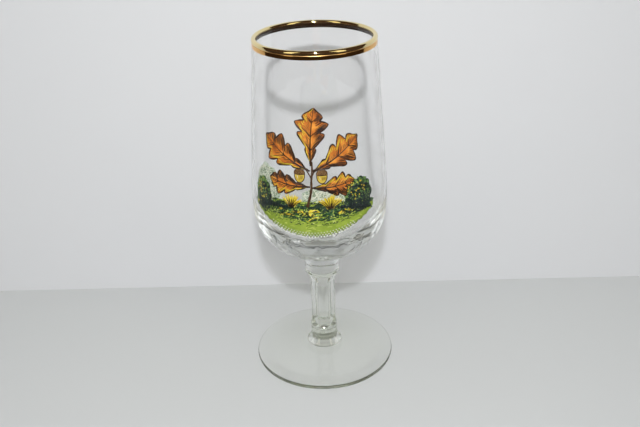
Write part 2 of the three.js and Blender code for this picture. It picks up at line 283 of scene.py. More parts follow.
# %% Foot surface
FOOT_R, EDGE, REST_R, KICK = 34.69, 2.0, 28.4, 2.3
HUB_R, CONE_TOP, FLARE, FLARE_TOP = 8.0, 6.9, 2.2, 10.6
under_r = np.linspace(0.02, 1, 48) * REST_R
under = np.stack([under_r, KICK * (1 - ease(0.2, 1, under_r / REST_R))], -1)
rest = np.array([[REST_R + 1.5, 0], [FOOT_R - EDGE / 2 - 0.6, 0], [FOOT_R - EDGE / 2, 0.01]])
rim = arc(FOOT_R - EDGE / 2, EDGE / 2, EDGE / 2, -85, 78, 22)
slope_r = np.linspace(FOOT_R - EDGE / 2 - 0.5, COLLAR_R + FLARE, 40)
slope_share = (FOOT_R - 1 - slope_r) / (FOOT_R - 1 - HUB_R)
slope = np.stack([slope_r, EDGE + 0.05 + (CONE_TOP - EDGE) * slope_share**0.97], -1)
hub_z = slope[-1, 1] + (FOOT_TOP - SEAM - slope[-1, 1]) * steps(61)[1:]
hub_r = COLLAR_R + FLARE * (1 - ease(CONE_TOP - 0.3, FLARE_TOP, hub_z))
hub = np.stack([hub_r, hub_z], -1)
foot_path = np.vstack([under, rest, rim, slope, hub])
foot = make_glass("foot_glass", "foot", turned_points(foot_path), False, True)

# %% [markdown]
# The gold is painted on the lip and fired, a film thinner than a hair. It covers the bead, a band
# outside and a band inside. Outside and over the bead it is burnished. The face that lies on the glass
# is left as fired and shows through the glass from the other side. The band inside gets the same dull
# dark brown, as a painted shade for the dark that the gold shows inside the mouth. Paint on the glass
# itself would need a sharp border in a material; skins beside the glass' own curve give that border
# and the film's edge by themselves. So there are three: the burnished one, the dull one under it, and
# the band inside with its painted shade.

# %% Rim gilding
GOLD_OUTSIDE, GOLD_INSIDE = 3.7, 2.5
GOLD_END = 36  # the point of the lip's arc where the burnished gold ends


def beside(path, distance):
    """The path moved to its right by a distance, along the mean of the directions of its two neighbours."""
    along = np.gradient(path, axis=0)
    along /= np.linalg.norm(along, axis=1, keepdims=True)
    return path + distance * np.stack([along[:, 1], -along[:, 0]], -1)


def ring_shell(path, near, far):
    """A closed skin round the axis: out along the path at one distance from it and back at a smaller one."""
    loop = np.vstack([beside(path, far), beside(path, near)[::-1]])
    last = (len(loop) - 1) * AROUND
    i = np.arange(AROUND)
    j = (i + 1) % AROUND
    closing = np.stack([last + i, last + j, j, i], -1)
    faces = np.vstack([grid_faces(len(loop), AROUND, True), closing])
    return turned_points(loop).reshape(-1, 3), faces


outer_z = np.linspace(TOP - GOLD_OUTSIDE, WALL_END, 14)
gilded = np.vstack([np.stack([outside_radius(outer_z), outer_z], -1), groove, lip[:GOLD_END]])
inside_band = np.vstack([lip[GOLD_END - 2:], lip_step[lip_step[:, 1] > TOP - GOLD_INSIDE]])
# The path of each skin and the distances of its two faces from the glass, in mm.
skins = {
    "rim_gold": (gilded, 0.045, 0.075),
    # The band inside: dull dark brown laid on as painted shade.
    "rim_gold_inside_painted_shade": (inside_band, 0.08, 0.1),
    "rim_gold_underside": (gilded, 0.015, 0.035),
}
gold = [make_piece(name, *ring_shell(*skin), ["rim_gilding"], "gold") for name, skin in skins.items()]

# %% [markdown]
# The picture on the bowl is a transfer print: films of coloured enamel, one over another, fired on to
# the glass. It shows a spray of oak leaves and acorns over a meadow. It could be a painted image on the
# glass, but then the model would need that file. Each film is a thin closed sheet that follows the
# glass, and the pen and brush marks are narrow sheets, many to a mesh. Each ink lies a little higher
# than the one printed before it.

# %% Print mapping
PRINT_SPAN, PRINT_WIDTH = math.radians(112), 62.0
PRINT_TURN, PRINT_BASE = math.radians(-7.2), NECK + 33.7
PRINT_SCALE = BELLY_R * PRINT_SPAN / PRINT_WIDTH
INK = 0.012
# How far each ink lies above the glass, in mm.
LIFT = {
    "hill": 0.03, "hill shade": 0.045, "hill light": 0.06,
    "meadow": 0.05, "meadow shade": 0.062, "meadow yellow": 0.074, "light blade": 0.086, "dark blade": 0.098,
    "dot": 0.11, "shrub": 0.065, "shrub leaf": 0.085, "shrub dark": 0.1, "shrub gold": 0.115,
    "tuft": 0.13, "tuft line": 0.145, "twig": 0.15, "nut": 0.165, "nut line": 0.185,
    "cup": 0.195, "scale": 0.21,
}
OVER_LEAF = 0.016
rng = np.random.default_rng(7)


def on_glass(x, y, lift):
    """A place on the print to a point: turn = x / belly radius, height = base + y, radius = glass + lift."""
    turn = x * PRINT_SCALE / BELLY_R + PRINT_TURN
    z = PRINT_BASE + y * PRINT_SCALE
    radius = outside_radius(z) + lift
    return round_axis(radius, turn, z)


print("one unit of the print is", round(PRINT_SCALE, 3), "mm")

# %% Sheets and ribbons


def film(x, y, lift):
    """A closed thin sheet over a grid of print places: a front, a back and a wall along the border."""
    x, y = np.broadcast_arrays(x, y)
    rows, columns = x.shape
    count = rows * columns
    points = np.vstack([on_glass(x, y, lift + INK).reshape(-1, 3), on_glass(x, y, lift).reshape(-1, 3)])
    quads = grid_faces(rows, columns, False)
    index = np.arange(count).reshape(rows, columns)
    border = np.concatenate([index[0], index[1:, -1], index[-1, -2::-1], index[-2:0:-1, 0]])
    after = np.roll(border, -1)
    wall = np.stack([border, border + count, after + count, after], -1)
    return points, np.vstack([quads, quads[:, ::-1] + count, wall])


def ribbons(x, y, half, lift):
    """Thin closed ribbons, one for each row of x and y, with their edges half a width beside the line."""
    x, y, half = np.broadcast_arrays(x, y, half)
    lines, stations = x.shape
    along_x, along_y = np.gradient(x, axis=1), np.gradient(y, axis=1)
    size = np.hypot(along_x, along_y) + 1e-9
    side_x, side_y = -along_y / size * half, along_x / size * half
    edge_x, edge_y = np.stack([x - side_x, x + side_x], -1), np.stack([y - side_y, y + side_y], -1)
    points = np.stack([on_glass(edge_x, edge_y, lift + INK), on_glass(edge_x, edge_y, lift)], 3)
    index = np.arange(stations * 4).reshape(stations, 2, 2)
    a, b, c, d = index[:-1, 0, 0], index[1:, 0, 0], index[1:, 1, 0], index[:-1, 1, 0]
    one = np.vstack([
        np.stack([a, b, c, d], -1),
        np.stack([d, c, b, a], -1) + 1,
        np.stack([a, a + 1, b + 1, b], -1),
        np.stack([c, c + 1, d + 1, d], -1),
        [[index[-1, 0, 0], index[-1, 0, 1], index[-1, 1, 1], index[-1, 1, 0]]],
        [[index[0, 1, 0], index[0, 1, 1], index[0, 0, 1], index[0, 0, 0]]],
    ])
    faces = one[None] + (np.arange(lines) * stations * 4)[:, None, None]
    return points.reshape(-1, 3), faces.reshape(-1, 4)


def printed(name, slot, sheets, nodes=None, uv=None):
    """A piece of the print, all its sheets in one mesh, for the named motifs or the one of its own name."""
    starts = np.cumsum([0] + [len(points) for points, _ in sheets[:-1]])
    points = np.vstack([points for points, _ in sheets])
    faces = np.vstack([faces + start for (_, faces), start in zip(sheets, starts)])
    return make_piece(name, points, faces, ["print_" + node for node in nodes or [name]], slot, uv)


print("each sheet is", INK, "mm thick")

# %% Brush dabs


def laid(x, y, direction, along, side):
    """Places by their distances along a direction and beside it, from a first place."""
    cosine, sine = np.cos(direction), np.sin(direction)
    return x + along * cosine - side * sine, y + along * sine + side * cosine


def dabs(x, y, direction, length, width, lift, bend=0.0):
    """Tapered brush dabs centred on places: each lies along its direction and bows sideways by its bend."""
    dab = np.broadcast_arrays(x, y, direction, length, width, bend)
    x, y, direction, length, width, bend = [values.reshape(-1, 1) for values in dab]
    share = steps(5)
    side = bend * length * 4 * share * (1 - share)
    half = 0.5 * width * np.sin(np.pi * (0.1 + 0.8 * share)) ** 0.8
    return ribbons(*laid(x, y, direction, (share - 0.5) * length, side), half, lift)

# %% [markdown]
# The meadow, the shrubs and the distant trees are soft patches of colour with dabs of other inks over
# them, as in a watercolour. An oval patch has its outline bumped by a cosine; the dabs are scattered
# over it by a seeded random generator, so every run gives the same picture. A noise in one material
# would colour the patch too, but it has no strokes with ends of their own.

# %% Patches and scattered places


def oval(x, y, half_wide, half_high, bumps, depth):
    """Places over an oval whose upper and lower edges swell by 1 + depth cos(bumps x turn)."""
    turn = np.linspace(np.pi - 0.08, 0.08, 64)
    share = np.linspace(-1, 1, 13)[:, None]
    swell = 1 + depth * np.cos(bumps * turn)
    return x + half_wide * np.cos(turn) * swell, y + half_high * np.sin(turn) * swell * share


def over_oval(patch, aside, above, wide, high, count):
    """Random places, evenly over an oval; its shift and its size are shares of the patch's half sizes."""
    x, y, half_wide, half_high = patch[:4]
    turn = rng.uniform(0, 2 * np.pi, count)
    out = np.sqrt(rng.uniform(0, 1, count))
    across, up = aside + wide * out * np.cos(turn), above + high * out * np.sin(turn)
    return x + half_wide * across, y + half_high * up


GROUND_HALF = 31.0


def ground_top(x):
    """The skyline of the meadow: a low dome with a slow ripple."""
    t = np.clip((GROUND_HALF - x) / (2 * GROUND_HALF), 0, 1)
    return 11.5 + 6.5 * np.sin(np.pi * t) ** 0.5 + 0.5 * np.sin(9 * t)


def ground_foot(x):
    """The lower edge, which hangs down in the middle."""
    t = np.clip((GROUND_HALF + x) / (2 * GROUND_HALF), 0, 1)
    return 10.5 - 10.5 * np.sin(np.pi * t) ** 0.8


# Ovals by their middle, half width, half height, number of bumps and depth of a bump, in units of the print.
HILLS = {"left": (-22, 21, 7.5, 11, 7, 0.06), "right": (10, 19.5, 14, 5.5, 9, 0.05)}
SHRUBS = {"left": (-25, 17, 5.3, 8.3, 9, 0.06), "right": (22.5, 18, 7.2, 8.2, 9, 0.06)}
# Tufts by their root, width and height.
TUFTS = {"left": (-9, 14.5, 10, 6.5), "right": (8.5, 14, 11, 7)}
print("patches:", len(HILLS) + len(SHRUBS), "tufts:", len(TUFTS))

# %% Distant trees
pale_pieces, pale_marks, pale_lights = [], [], []
for side, patch in HILLS.items():
    pale_pieces.append(printed("hills_" + side, "ink_pale", [film(*oval(*patch), LIFT["hill"])]))
    count = int(patch[2] * patch[3] * 3.2)
    places = over_oval(patch, 0, 0, 0.97, 0.97, count)
    lean, long = rng.normal(0.9, 0.5, count), rng.uniform(0.9, 2.2, count)
    pale_marks.append(dabs(*places, lean, long, rng.uniform(0.25, 0.5, count), LIFT["hill shade"], 0.1))
    places = over_oval(patch, -0.1, 0.15, 0.85, 0.8, count)
    lean, long = rng.normal(0.9, 0.6, count), rng.uniform(0.6, 1.5, count)
    pale_lights.append(dabs(*places, lean, long, 0.45, LIFT["hill light"], 0.15))
hill_nodes = ["hills_left", "hills_right"]
pale_shade = printed("hills_brush_shade", "ink_green", pale_marks, hill_nodes)
pale_light = printed("hills_brush_light", "ink_pale", pale_lights, hill_nodes)

# %% Meadow
FRINGE = 0.6
UPRIGHT = np.pi / 2
across = np.linspace(-GROUND_HALF + 0.4, GROUND_HALF - 0.4, 150)
wet_edge = ground_foot(across) + FRINGE + 0.3 * np.sin(across * 2.1) + 0.2 * np.sin(across * 4.7 + 1)
rise = steps(12)[:, None]
meadow_film = film(across, wet_edge + (ground_top(across) - wet_edge) * rise, LIFT["meadow"])
meadow = printed("meadow", "ink_green", [meadow_film], ["ground"])


def strokes(count, low, high, direction, length, width, lift, wander):
    """Brush dabs between two shares of the meadow's height, all lying about one way."""
    x = rng.uniform(-GROUND_HALF + 2.5, GROUND_HALF - 2.5, count)
    foot_y = ground_foot(x) + FRINGE
    y = foot_y + (ground_top(x) - foot_y) * rng.uniform(low, high, count)
    turned = rng.normal(direction, wander, count)
    lengths, widths = length * rng.uniform(0.5, 1.3, count), width * rng.uniform(0.6, 1.2, count)
    return dabs(x, y, turned, lengths, widths, LIFT[lift], 0.1)


meadow_shade = [
    strokes(90, 0.55, 0.86, 0.0, 8.0, 1.5, "meadow shade", 0.12),
    strokes(60, 0.42, 0.6, 0.0, 4.0, 0.9, "meadow shade", 0.3),
]
meadow_yellow = [strokes(15, 0.5, 0.8, 0.0, 6.0, 1.3, "meadow yellow", 0.15)]
light_blades = [
    strokes(300, 0.45, 0.98, UPRIGHT - 0.4, 1.5, 0.4, "light blade", 0.5),
    strokes(60, 0.1, 0.5, 0.1, 2.2, 0.5, "light blade", 0.3),
]
dark_blades = [
    strokes(620, 0.48, 0.98, 0.25, 1.7, 0.42, "dark blade", 0.5),
    strokes(200, 0.3, 0.55, 0.3, 1.1, 0.34, "dark blade", 0.4),
    strokes(40, 0.72, 0.9, 0.0, 5.0, 0.8, "dark blade", 0.1),
]
shade_patches = printed("meadow_shade", "ink_green", meadow_shade, ["ground"])
yellow_patches = printed("meadow_yellow", "ink_yellow", meadow_yellow, ["ground"])
light_grass = printed("meadow_light_blades", "ink_green", light_blades, ["ground"])
dark_grass = printed("meadow_dark_blades", "ink_dark", dark_blades, ["ground"])

# %% [markdown]
# White dots let the meadow fade out at its foot, as a printer's screen does. Each row stands half a
# step beside the one below, and the dots grow smaller upwards.

# %% Dotted edge
DOT_PITCH, DOT_SIZE, DOT_ROWS = 1.35, 0.74, 3
dot_column = np.arange(-14, 15)
dot_x = (dot_column + 0.5 * (np.arange(DOT_ROWS) % 2)[:, None]) * DOT_PITCH
dot_y = ground_foot(dot_x) + 0.15 + np.arange(DOT_ROWS)[:, None] * DOT_PITCH * 0.8
dot_size = DOT_SIZE * np.linspace(1.1, 0.7, DOT_ROWS)[:, None]
dots = dabs(dot_x, dot_y, 0.0, dot_size, dot_size * 0.95, LIFT["dot"])
meadow_dots = printed("meadow_dots", "ink_pale", [dots], ["ground"])

# %% Shadow of the shrubs on the meadow
strip_x = np.stack([np.linspace(-30, -11, 60), np.linspace(12, 30, 60)])
strip_y = ground_top(strip_x) - np.array([[3.2], [3.4]]) + 0.25 * np.sin(strip_x * 3.1)
strip_half = 0.9 * np.sin(np.pi * np.linspace(0.03, 0.97, 60)) ** 0.6 * (1 + 0.3 * np.sin(strip_x * 5.3))
strips = ribbons(strip_x, strip_y, strip_half, LIFT["shrub dark"])
shade_strip = printed("shrub_shadow", "ink_dark", [strips], ["ground"])

# %% Shrubs
shrub_pieces, shrub_lights, shrub_darks, shrub_golds = [], [], [], []
for side, patch in SHRUBS.items():
    shrub_pieces.append(printed("shrub_" + side, "ink_dark", [film(*oval(*patch), LIFT["shrub"])]))
    count = int(patch[2] * patch[3] * 4)
    places = over_oval(patch, -0.04, 0.06, 0.98, 0.97, count)
    turned, long = rng.uniform(0, 2 * np.pi, count), rng.uniform(0.9, 1.6, count)
    shrub_lights.append(dabs(*places, turned, long, 0.6, LIFT["shrub leaf"], 0.1))
    places = over_oval(patch, 0.1, -0.12, 0.9, 0.85, 2 * count)
    turned = rng.uniform(0, np.pi, 2 * count)
    shrub_darks.append(dabs(*places, turned, 1.0, 0.45, LIFT["shrub dark"], 0.15))
    few = count // 9
    places = over_oval(patch, -0.2, 0.3, 0.65, 0.6, few)
    turned, long = rng.uniform(0, np.pi, few), rng.uniform(0.6, 1.1, few)
    shrub_golds.append(dabs(*places, turned, long, 0.5, LIFT["shrub gold"]))
shrub_nodes = ["shrub_left", "shrub_right"]
shrub_light = printed("shrub_leaves_light", "ink_green", shrub_lights, shrub_nodes)
shrub_dark = printed("shrub_leaves_dark", "ink_dark", shrub_darks, shrub_nodes)
shrub_gold = printed("shrub_leaves_yellow", "ink_yellow", shrub_golds, shrub_nodes)

# %% [markdown]
# A tuft of tall grass is a fan of curved blades from one root. Each blade's line is a short parabola,
# widest near its foot, and dark strokes between them give it depth.

# %% Grass tufts


def fan(x, y, width, height, count, thickness, lift, shorter=1.0):
    """Blades from a root, each of its own length: x = root + spread (share^1.6), y = height (share)."""
    spread = np.linspace(-1, 1, count) + rng.normal(0, 0.06, count)
    tall = height * shorter * (1 - 0.3 * spread**2) * rng.uniform(0.75, 1.05, count)
    share = steps(9)
    line_x = x + spread[:, None] * width * (0.1 + 0.42 * share**1.6)
    line_y = y + tall[:, None] * share * (1 - 0.12 * np.abs(spread)[:, None] * share)
    half = 0.5 * thickness * np.sin(np.pi * (0.25 + 0.74 * share)) ** 0.8
    return ribbons(line_x, line_y, half, lift)


tuft_pieces = []
for side, tuft in TUFTS.items():
    tuft_pieces.append(printed("tuft_" + side, "ink_yellow", [fan(*tuft, 24, 1.05, LIFT["tuft"])]))
tuft_keys = [fan(*tuft, 13, 0.34, LIFT["tuft line"], 0.8) for tuft in TUFTS.values()]
tuft_lines = printed("tuft_key_lines", "ink_dark", tuft_keys, ["tuft_left", "tuft_right"])

# %% [markdown]
# An oak leaf widens and narrows along its length in four lobes a side. With t along the leaf and s
# across it, the half width is a sine of t times a ripple, and the lobes lean forward, as on a real
# leaf. The same function places the veins, the pen line round the edge and the hatching, so they all
# follow the leaf. Drawing each leaf as a curve by hand would work too, but its veins would have to be
# drawn again for every leaf.

# %% Leaf shape and pen lines
# Leaves by their foot, direction in degrees, length, width, bow and height above the glass.
LEAVES = {
    "leaf_top": (0.3, 34.5, 85, 25, 16, 0.8, 0.06),
    "leaf_low_left": (-0.6, 24.5, 174, 20, 11.5, 0.8, 0.075),
    "leaf_low_right": (1, 24, 6, 19.5, 11.5, -0.8, 0.075),
    "leaf_left": (-0.6, 32, 148, 26, 15, 1, 0.12),
    "leaf_right": (1.2, 31.5, 33, 26, 15, -1, 0.12),
}
LOBES = 4


def on_leaf(leaf, t, s):
    """Places at share t along a leaf and s across it, from -1 to 1: half width = sin(pi t^1.3) x lobes."""
    x, y, angle, length, width, bend, _ = leaf
    body = np.sin(np.pi * np.clip(t, 0, 1) ** 1.3)
    lobe = 0.5 + 0.5 * np.abs(np.sin(LOBES * np.pi * t)) ** 0.8
    half = 0.5 * width * np.maximum(body * lobe, 0.04)
    along = t * length + 0.9 * half * np.abs(s) * (1 - t)
    return laid(x, y, math.radians(angle), along, s * half + bend * np.sin(np.pi * t))


def leaf_lines(leaf):
    """The pen lines of a leaf, a sheet each for its outline, its midrib and its veins on both sides."""
    lift = leaf[6] + OVER_LEAF
    t = np.linspace(0.01, 0.995, 110)
    wobble = 1 + 0.35 * np.sin(31 * t + leaf[2]) + 0.2 * np.sin(73 * t)
    edge = ribbons(*on_leaf(leaf, np.vstack([t, t]), np.array([[-0.97], [0.97]])), 0.27 * wobble, lift)
    rib_t = np.linspace(-0.02, 0.97, 40)[None]
    rib = ribbons(*on_leaf(leaf, rib_t, np.zeros((1, 1))), 0.4 * (1 - 0.7 * rib_t), lift)
    peaks = (np.arange(LOBES) + 0.5) / LOBES
    share = steps(10)
    vein_t = (peaks - 0.13)[:, None] + 0.14 * share
    vein_s = 0.85 * share**0.9
    half = 0.22 * (1 - 0.6 * share)
    veins = [ribbons(*on_leaf(leaf, vein_t, side * vein_s), half, lift) for side in (-1, 1)]
    return [edge, rib, *veins]


def leaf_hatching(leaf, count, inner, outer, side, width):
    """Fine strokes that run from near the midrib towards the edge on one side of a leaf, a little forward."""
    start = np.linspace(0.06, 0.93, count) + rng.normal(0, 0.006, count)
    share = steps(6)
    t = start[:, None] + 0.055 * share
    first = inner + rng.uniform(-0.08, 0.08, count)[:, None]
    last = outer + rng.uniform(-0.12, 0.06, count)[:, None]
    s = side * (first + (last - first) * share)
    half = 0.5 * width * np.sin(np.pi * (0.12 + 0.8 * share)) ** 0.7
    return ribbons(*on_leaf(leaf, t, s), half, leaf[6] + OVER_LEAF)

# %% Oak leaves
leaf_pieces, leaf_keys, leaf_shades, leaf_lights = [], [], [], []
for name, leaf in LEAVES.items():
    s, t = np.meshgrid(np.linspace(-1, 1, 17), steps(120), indexing="ij")
    uv = np.tile(np.stack([t.ravel(), s.ravel() * 0.5 + 0.5], -1), (2, 1))
    leaf_pieces.append(printed(name, "ink_orange", [film(*on_leaf(leaf, t, s), leaf[6])], uv=uv))
    leaf_keys += leaf_lines(leaf)
    leaf_shades.append(leaf_hatching(leaf, 46, 0.3, 0.94, -1, 0.3))
    leaf_shades.append(leaf_hatching(leaf, 26, 0.05, 0.4, 1, 0.22))
    leaf_lights.append(leaf_hatching(leaf, 22, 0.5, 0.85, 1, 0.3))
leaf_key = printed("leaf_key_lines", "ink_dark", leaf_keys, LEAVES)
leaf_shade = printed("leaf_hatching", "ink_dark", leaf_shades, LEAVES)
leaf_light = printed("leaf_light_strokes", "ink_yellow", leaf_lights, LEAVES)

# %% [markdown]
# The twig carries the leaves and two acorns. An acorn is an oval nut in a scaly cup; the cup is a half
# oval over its upper part, and its scales are rows of small light dabs.

# %% Twig
ACORNS = {"left": (-4.8, 29.6), "right": (5.2, 29.2)}
STALK_X, STALK_Y = 0.4, 28.5
NUT_WIDE, NUT_HIGH = 2.3, 3.2
CUP_WIDE, CUP_HIGH, CUP_RIM = NUT_WIDE * 1.12, 2.5, 0.75
up = steps(50)
twig_x = -1.5 + 2.2 * ease(0, 0.5, up) + 0.25 * np.sin(9 * up)
twig_y = 15 + 21 * up
twig_half = (0.62 - 0.25 * up) * (1 + 0.12 * np.sin(40 * up))
branches = [ribbons(twig_x[None], twig_y[None], twig_half[None], LIFT["twig"])]
for x, y in ACORNS.values():
    share = steps(12)[None]
    stalk_x = STALK_X + (x - STALK_X) * share
    stalk_y = STALK_Y + 5.2 * np.sin(np.pi * share * 0.62) + (y + 3 - STALK_Y - 4.8) * share**3
    branches.append(ribbons(stalk_x, stalk_y, 0.28, LIFT["twig"]))
twig = printed("twig", "ink_dark", branches)

# %% Acorns
acorn_nuts, cup_sheets, scale_sheets, shine_sheets, ring_sheets = [], [], [], [], []
for side, (x, y) in ACORNS.items():
    nut = film(*oval(x, y, NUT_WIDE, NUT_HIGH, 2, 0.03), LIFT["nut"])
    acorn_nuts.append(printed("acorn_" + side, "ink_yellow", [nut]))
    turn = np.linspace(np.pi, 0, 40)
    share = steps(7)[:, None]
    cup_x = x + CUP_WIDE * np.cos(turn)
    low_edge = y + CUP_RIM - 0.5 * np.sin(turn)
    high_edge = y + CUP_RIM + 0.05 + CUP_HIGH * np.sin(turn) ** 0.7
    cup_sheets.append(film(cup_x, low_edge + (high_edge - low_edge) * share, LIFT["cup"]))
    scale_column, scale_row = np.meshgrid(np.linspace(-0.75, 0.75, 6), np.linspace(0.1, 0.75, 4))
    aside = 0.1 * (-1) ** np.arange(4)[:, None]
    scale_x = x + CUP_WIDE * scale_column * np.sqrt(1 - scale_row**2) + aside
    scale_y = y + CUP_RIM - 0.1 + CUP_HIGH * scale_row
    scale_sheets.append(dabs(scale_x, scale_y, 0.4, 0.42, 0.22, LIFT["scale"]))
    shine_sheets.append(dabs(x - 0.9, y - 0.7, 1.8, 1.5, 0.26, LIFT["nut line"]))
    shade = np.array([0.3, 0.85, 1.35])
    shade_y, lean, long = y - 1.1 + 0.25 * shade, 1.45 - 0.1 * shade, 2.2 - 0.5 * shade
    ring_sheets.append(dabs(x + shade, shade_y, lean, long, 0.2, LIFT["nut line"]))
    round_nut = np.linspace(0, 2 * np.pi, 50)[None]
    ring_x, ring_y = x + NUT_WIDE * np.cos(round_nut), y + NUT_HIGH * np.sin(round_nut)
    ring_sheets.append(ribbons(ring_x, ring_y, 0.2, LIFT["nut line"]))
acorn_nodes = ["acorn_left", "acorn_right"]
cups = printed("acorn_cups", "ink_dark", cup_sheets, acorn_nodes)
scales = printed("acorn_cup_scales", "ink_orange", scale_sheets, acorn_nodes)
shines = printed("acorn_light_strokes", "ink_pale", shine_sheets, acorn_nodes)
nut_lines = printed("acorn_key_lines", "ink_dark", ring_sheets, acorn_nodes)

# %% [markdown]
# A finish is a small network of nodes. Each helper adds one step, sets its values and gives back the
# socket that the next step takes. Patterns read the piece's own coordinates, so they stay put on it in
# every view.

# %% Nodes and materials


def feed(tree, socket, value):
    """Links an input to another node's output, or gives it a plain value."""
    if isinstance(value, bpy.types.NodeSocket):
        tree.links.new(value, socket)
    else:
        socket.default_value = value


def add_node(tree, kind, **values):
    """A node with its properties set and its inputs fed, both by name."""
    node = tree.nodes.new(kind)
    for key, value in values.items():
        if hasattr(node, key):
            setattr(node, key, value)
        else:
            feed(tree, node.inputs[key.replace("_", " ")], value)
    return node


def new_material(name, **values):
    """A material whose tree holds its output and one Principled shader with the given values."""
    material = bpy.data.materials.new(name)
    material.use_nodes = True
    tree = material.node_tree
    tree.nodes.clear()
    output = add_node(tree, "ShaderNodeOutputMaterial")
    shader = add_node(tree, "ShaderNodeBsdfPrincipled", **values)
    tree.links.new(shader.outputs["BSDF"], output.inputs["Surface"])
    return material, tree, shader, output


def paint(material, *pieces):
    """Gives the pieces their material."""
    for piece in pieces:
        piece.data.materials.append(material)

# %% Mixing and sums


def mixed_shader(tree, share, first, second):
    """Two shaders mixed by a share."""
    mix = add_node(tree, "ShaderNodeMixShader")
    for socket, value in zip(mix.inputs, (share, first, second)):
        tree.links.new(value, socket)
    return mix.outputs["Shader"]


def mixed_color(tree, share, first, second):
    """Two colours mixed by a share."""
    mix = add_node(tree, "ShaderNodeMix", data_type="RGBA", Factor=share, A=first, B=second)
    return mix.outputs["Result"]


def clear_film(tree, color=(1, 1, 1, 1)):
    """A shader that lets light straight through, tinted by a colour."""
    return add_node(tree, "ShaderNodeBsdfTransparent", Color=color).outputs["BSDF"]


def math_node(tree, operation, first, second=0.0):
    """The result of a sum on two sockets or numbers."""
    node = add_node(tree, "ShaderNodeMath", operation=operation)
    for socket, value in zip(node.inputs, (first, second)):
        feed(tree, socket, value)
    return node.outputs["Value"]


def ranged(tree, value, low, high, to_low=0.0, to_high=1.0):
    """A value carried in proportion from one range to another, and held at its ends."""
    values = {"Value": value, "From_Min": low, "From_Max": high, "To_Min": to_low, "To_Max": to_high}
    return add_node(tree, "ShaderNodeMapRange", **values).outputs["Result"]


def ramp(tree, value, *stops):
    """A colour that runs through the stops, each a share and a colour, as the value goes from 0 to 1."""
    node = add_node(tree, "ShaderNodeValToRGB", Fac=value)
    elements = node.color_ramp.elements
    elements.remove(elements[1])
    for index, (share, color) in enumerate(stops):
        element = elements.new(share) if index else elements[0]
        element.position = share
        element.color = (*color, 1)
    return node.outputs["Color"]

# %% Place, noise and relief


def split(tree, vector):
    """The three parts of a vector."""
    return add_node(tree, "ShaderNodeSeparateXYZ", Vector=vector).outputs


def own_place(tree):
    """A place on the piece, in metres."""
    return add_node(tree, "ShaderNodeTexCoord").outputs["Object"]


def own_height(tree):
    """The height of a place on the piece, in metres."""
    return split(tree, own_place(tree))["Z"]


def noise(tree, scale, detail, stretch=(1, 1, 1)):
    """A noise that reads the piece's own place, scaled per axis by stretch."""
    place = add_node(tree, "ShaderNodeMapping", Vector=own_place(tree), Scale=stretch).outputs["Vector"]
    return add_node(tree, "ShaderNodeTexNoise", Vector=place, Scale=scale, Detail=detail).outputs["Fac"]


def bump(tree, height, strength, distance):
    """Fine relief in the shading; the distance is in metres."""
    values = {"Height": height, "Strength": strength, "Distance": distance}
    return add_node(tree, "ShaderNodeBump", **values).outputs["Normal"]


def dress(tree, shader, **sockets):
    """Feeds inputs of a shader by name."""
    for key, value in sockets.items():
        tree.links.new(value, shader.inputs[key.replace("_", " ")])


def light_path(tree):
    """What a shader can know of the ray that meets it."""
    return add_node(tree, "ShaderNodeLightPath").outputs

# %% [markdown]
# Clear soda glass: no colour of its own in a thin wall, a faint grey green where it is thick, which the
# volume absorption gives. Light bends by an index of 1.5. Lamps would leave its shadow black, since
# bent light is not followed to a lamp. So for shadow and diffuse rays the glass is a clear film, which
# darkens where it slants and, on the bowl, over the thick base. The fused faces between foot, stem and
# bowl are left clear, because there is no air between them.

# %% Glass finish
GLASS_INDEX = 1.5
CLEAR_TOP = 120
# How clear the bowl's shadow is at a height in mm, and how much of its blue is left.
BOWL_CLEAR = [
    (64, 0.37, 0.85),
    (66.5, 0.52, 0.9),
    (74, 0.52, 0.9),
    (77.5, 0.72, 0.9),
    (83, 0.72, 0.9),
    (98, 0.98, 1),
]
ALL_CLEAR = [(1, 1, 1)]
BOWL_WAVES, STEM_WAVES = 0.00002, 0.000004
MOULD_WAVES = (0.4, 0.4, 1.6)  # flatter than they are wide


def clear_glass_finish(name, clear_at, at_edge, from_slant, waves, density, tone):
    """Glass with faint waves from the mould, whose shadow goes from clear_at to at_edge as it slants more."""
    material, tree, shader, output = new_material(
        name, Base_Color=(1, 1, 1, 1), Roughness=0.0, IOR=GLASS_INDEX, Transmission_Weight=1.0
    )
    dress(tree, shader, Normal=bump(tree, noise(tree, 90, 1, MOULD_WAVES), 1.0, waves))
    absorb = add_node(tree, "ShaderNodeVolumeAbsorption", Color=(*tone, 1), Density=density)
    path = light_path(tree)
    lit_by = math_node(tree, "MAXIMUM", path["Is Shadow Ray"], path["Is Diffuse Ray"])
    facing = add_node(tree, "ShaderNodeLayerWeight", Blend=0.5).outputs["Facing"]
    stops = [(at / CLEAR_TOP, (clear, clear, clear * blue)) for at, clear, blue in clear_at]
    by_height = ramp(tree, ranged(tree, own_height(tree), 0, CLEAR_TOP * MM), *stops)
    slant = ranged(tree, facing, from_slant, 1)
    shadow = clear_film(tree, mixed_color(tree, slant, by_height, (at_edge, at_edge, at_edge, 1)))
    skin = mixed_shader(tree, lit_by, shader.outputs["BSDF"], shadow)
    fused = add_node(tree, "ShaderNodeAttribute", attribute_name="joint").outputs["Fac"]
    surface = mixed_shader(tree, fused, skin, clear_film(tree))
    dress(tree, output, Surface=surface, Volume=absorb.outputs["Volume"])
    return material


bowl_look = (BOWL_CLEAR, 0.55, 0.5, BOWL_WAVES, 6, (0.8, 0.88, 0.84))
stem_look = (ALL_CLEAR, 0.6, 0.7, STEM_WAVES, 28, (0.82, 0.86, 0.74))
paint(clear_glass_finish("clear glass of the bowl", *bowl_look), bowl)
paint(clear_glass_finish("clear glass of the stem and foot", *stem_look), stem, foot)
print("glass with an index of", GLASS_INDEX)
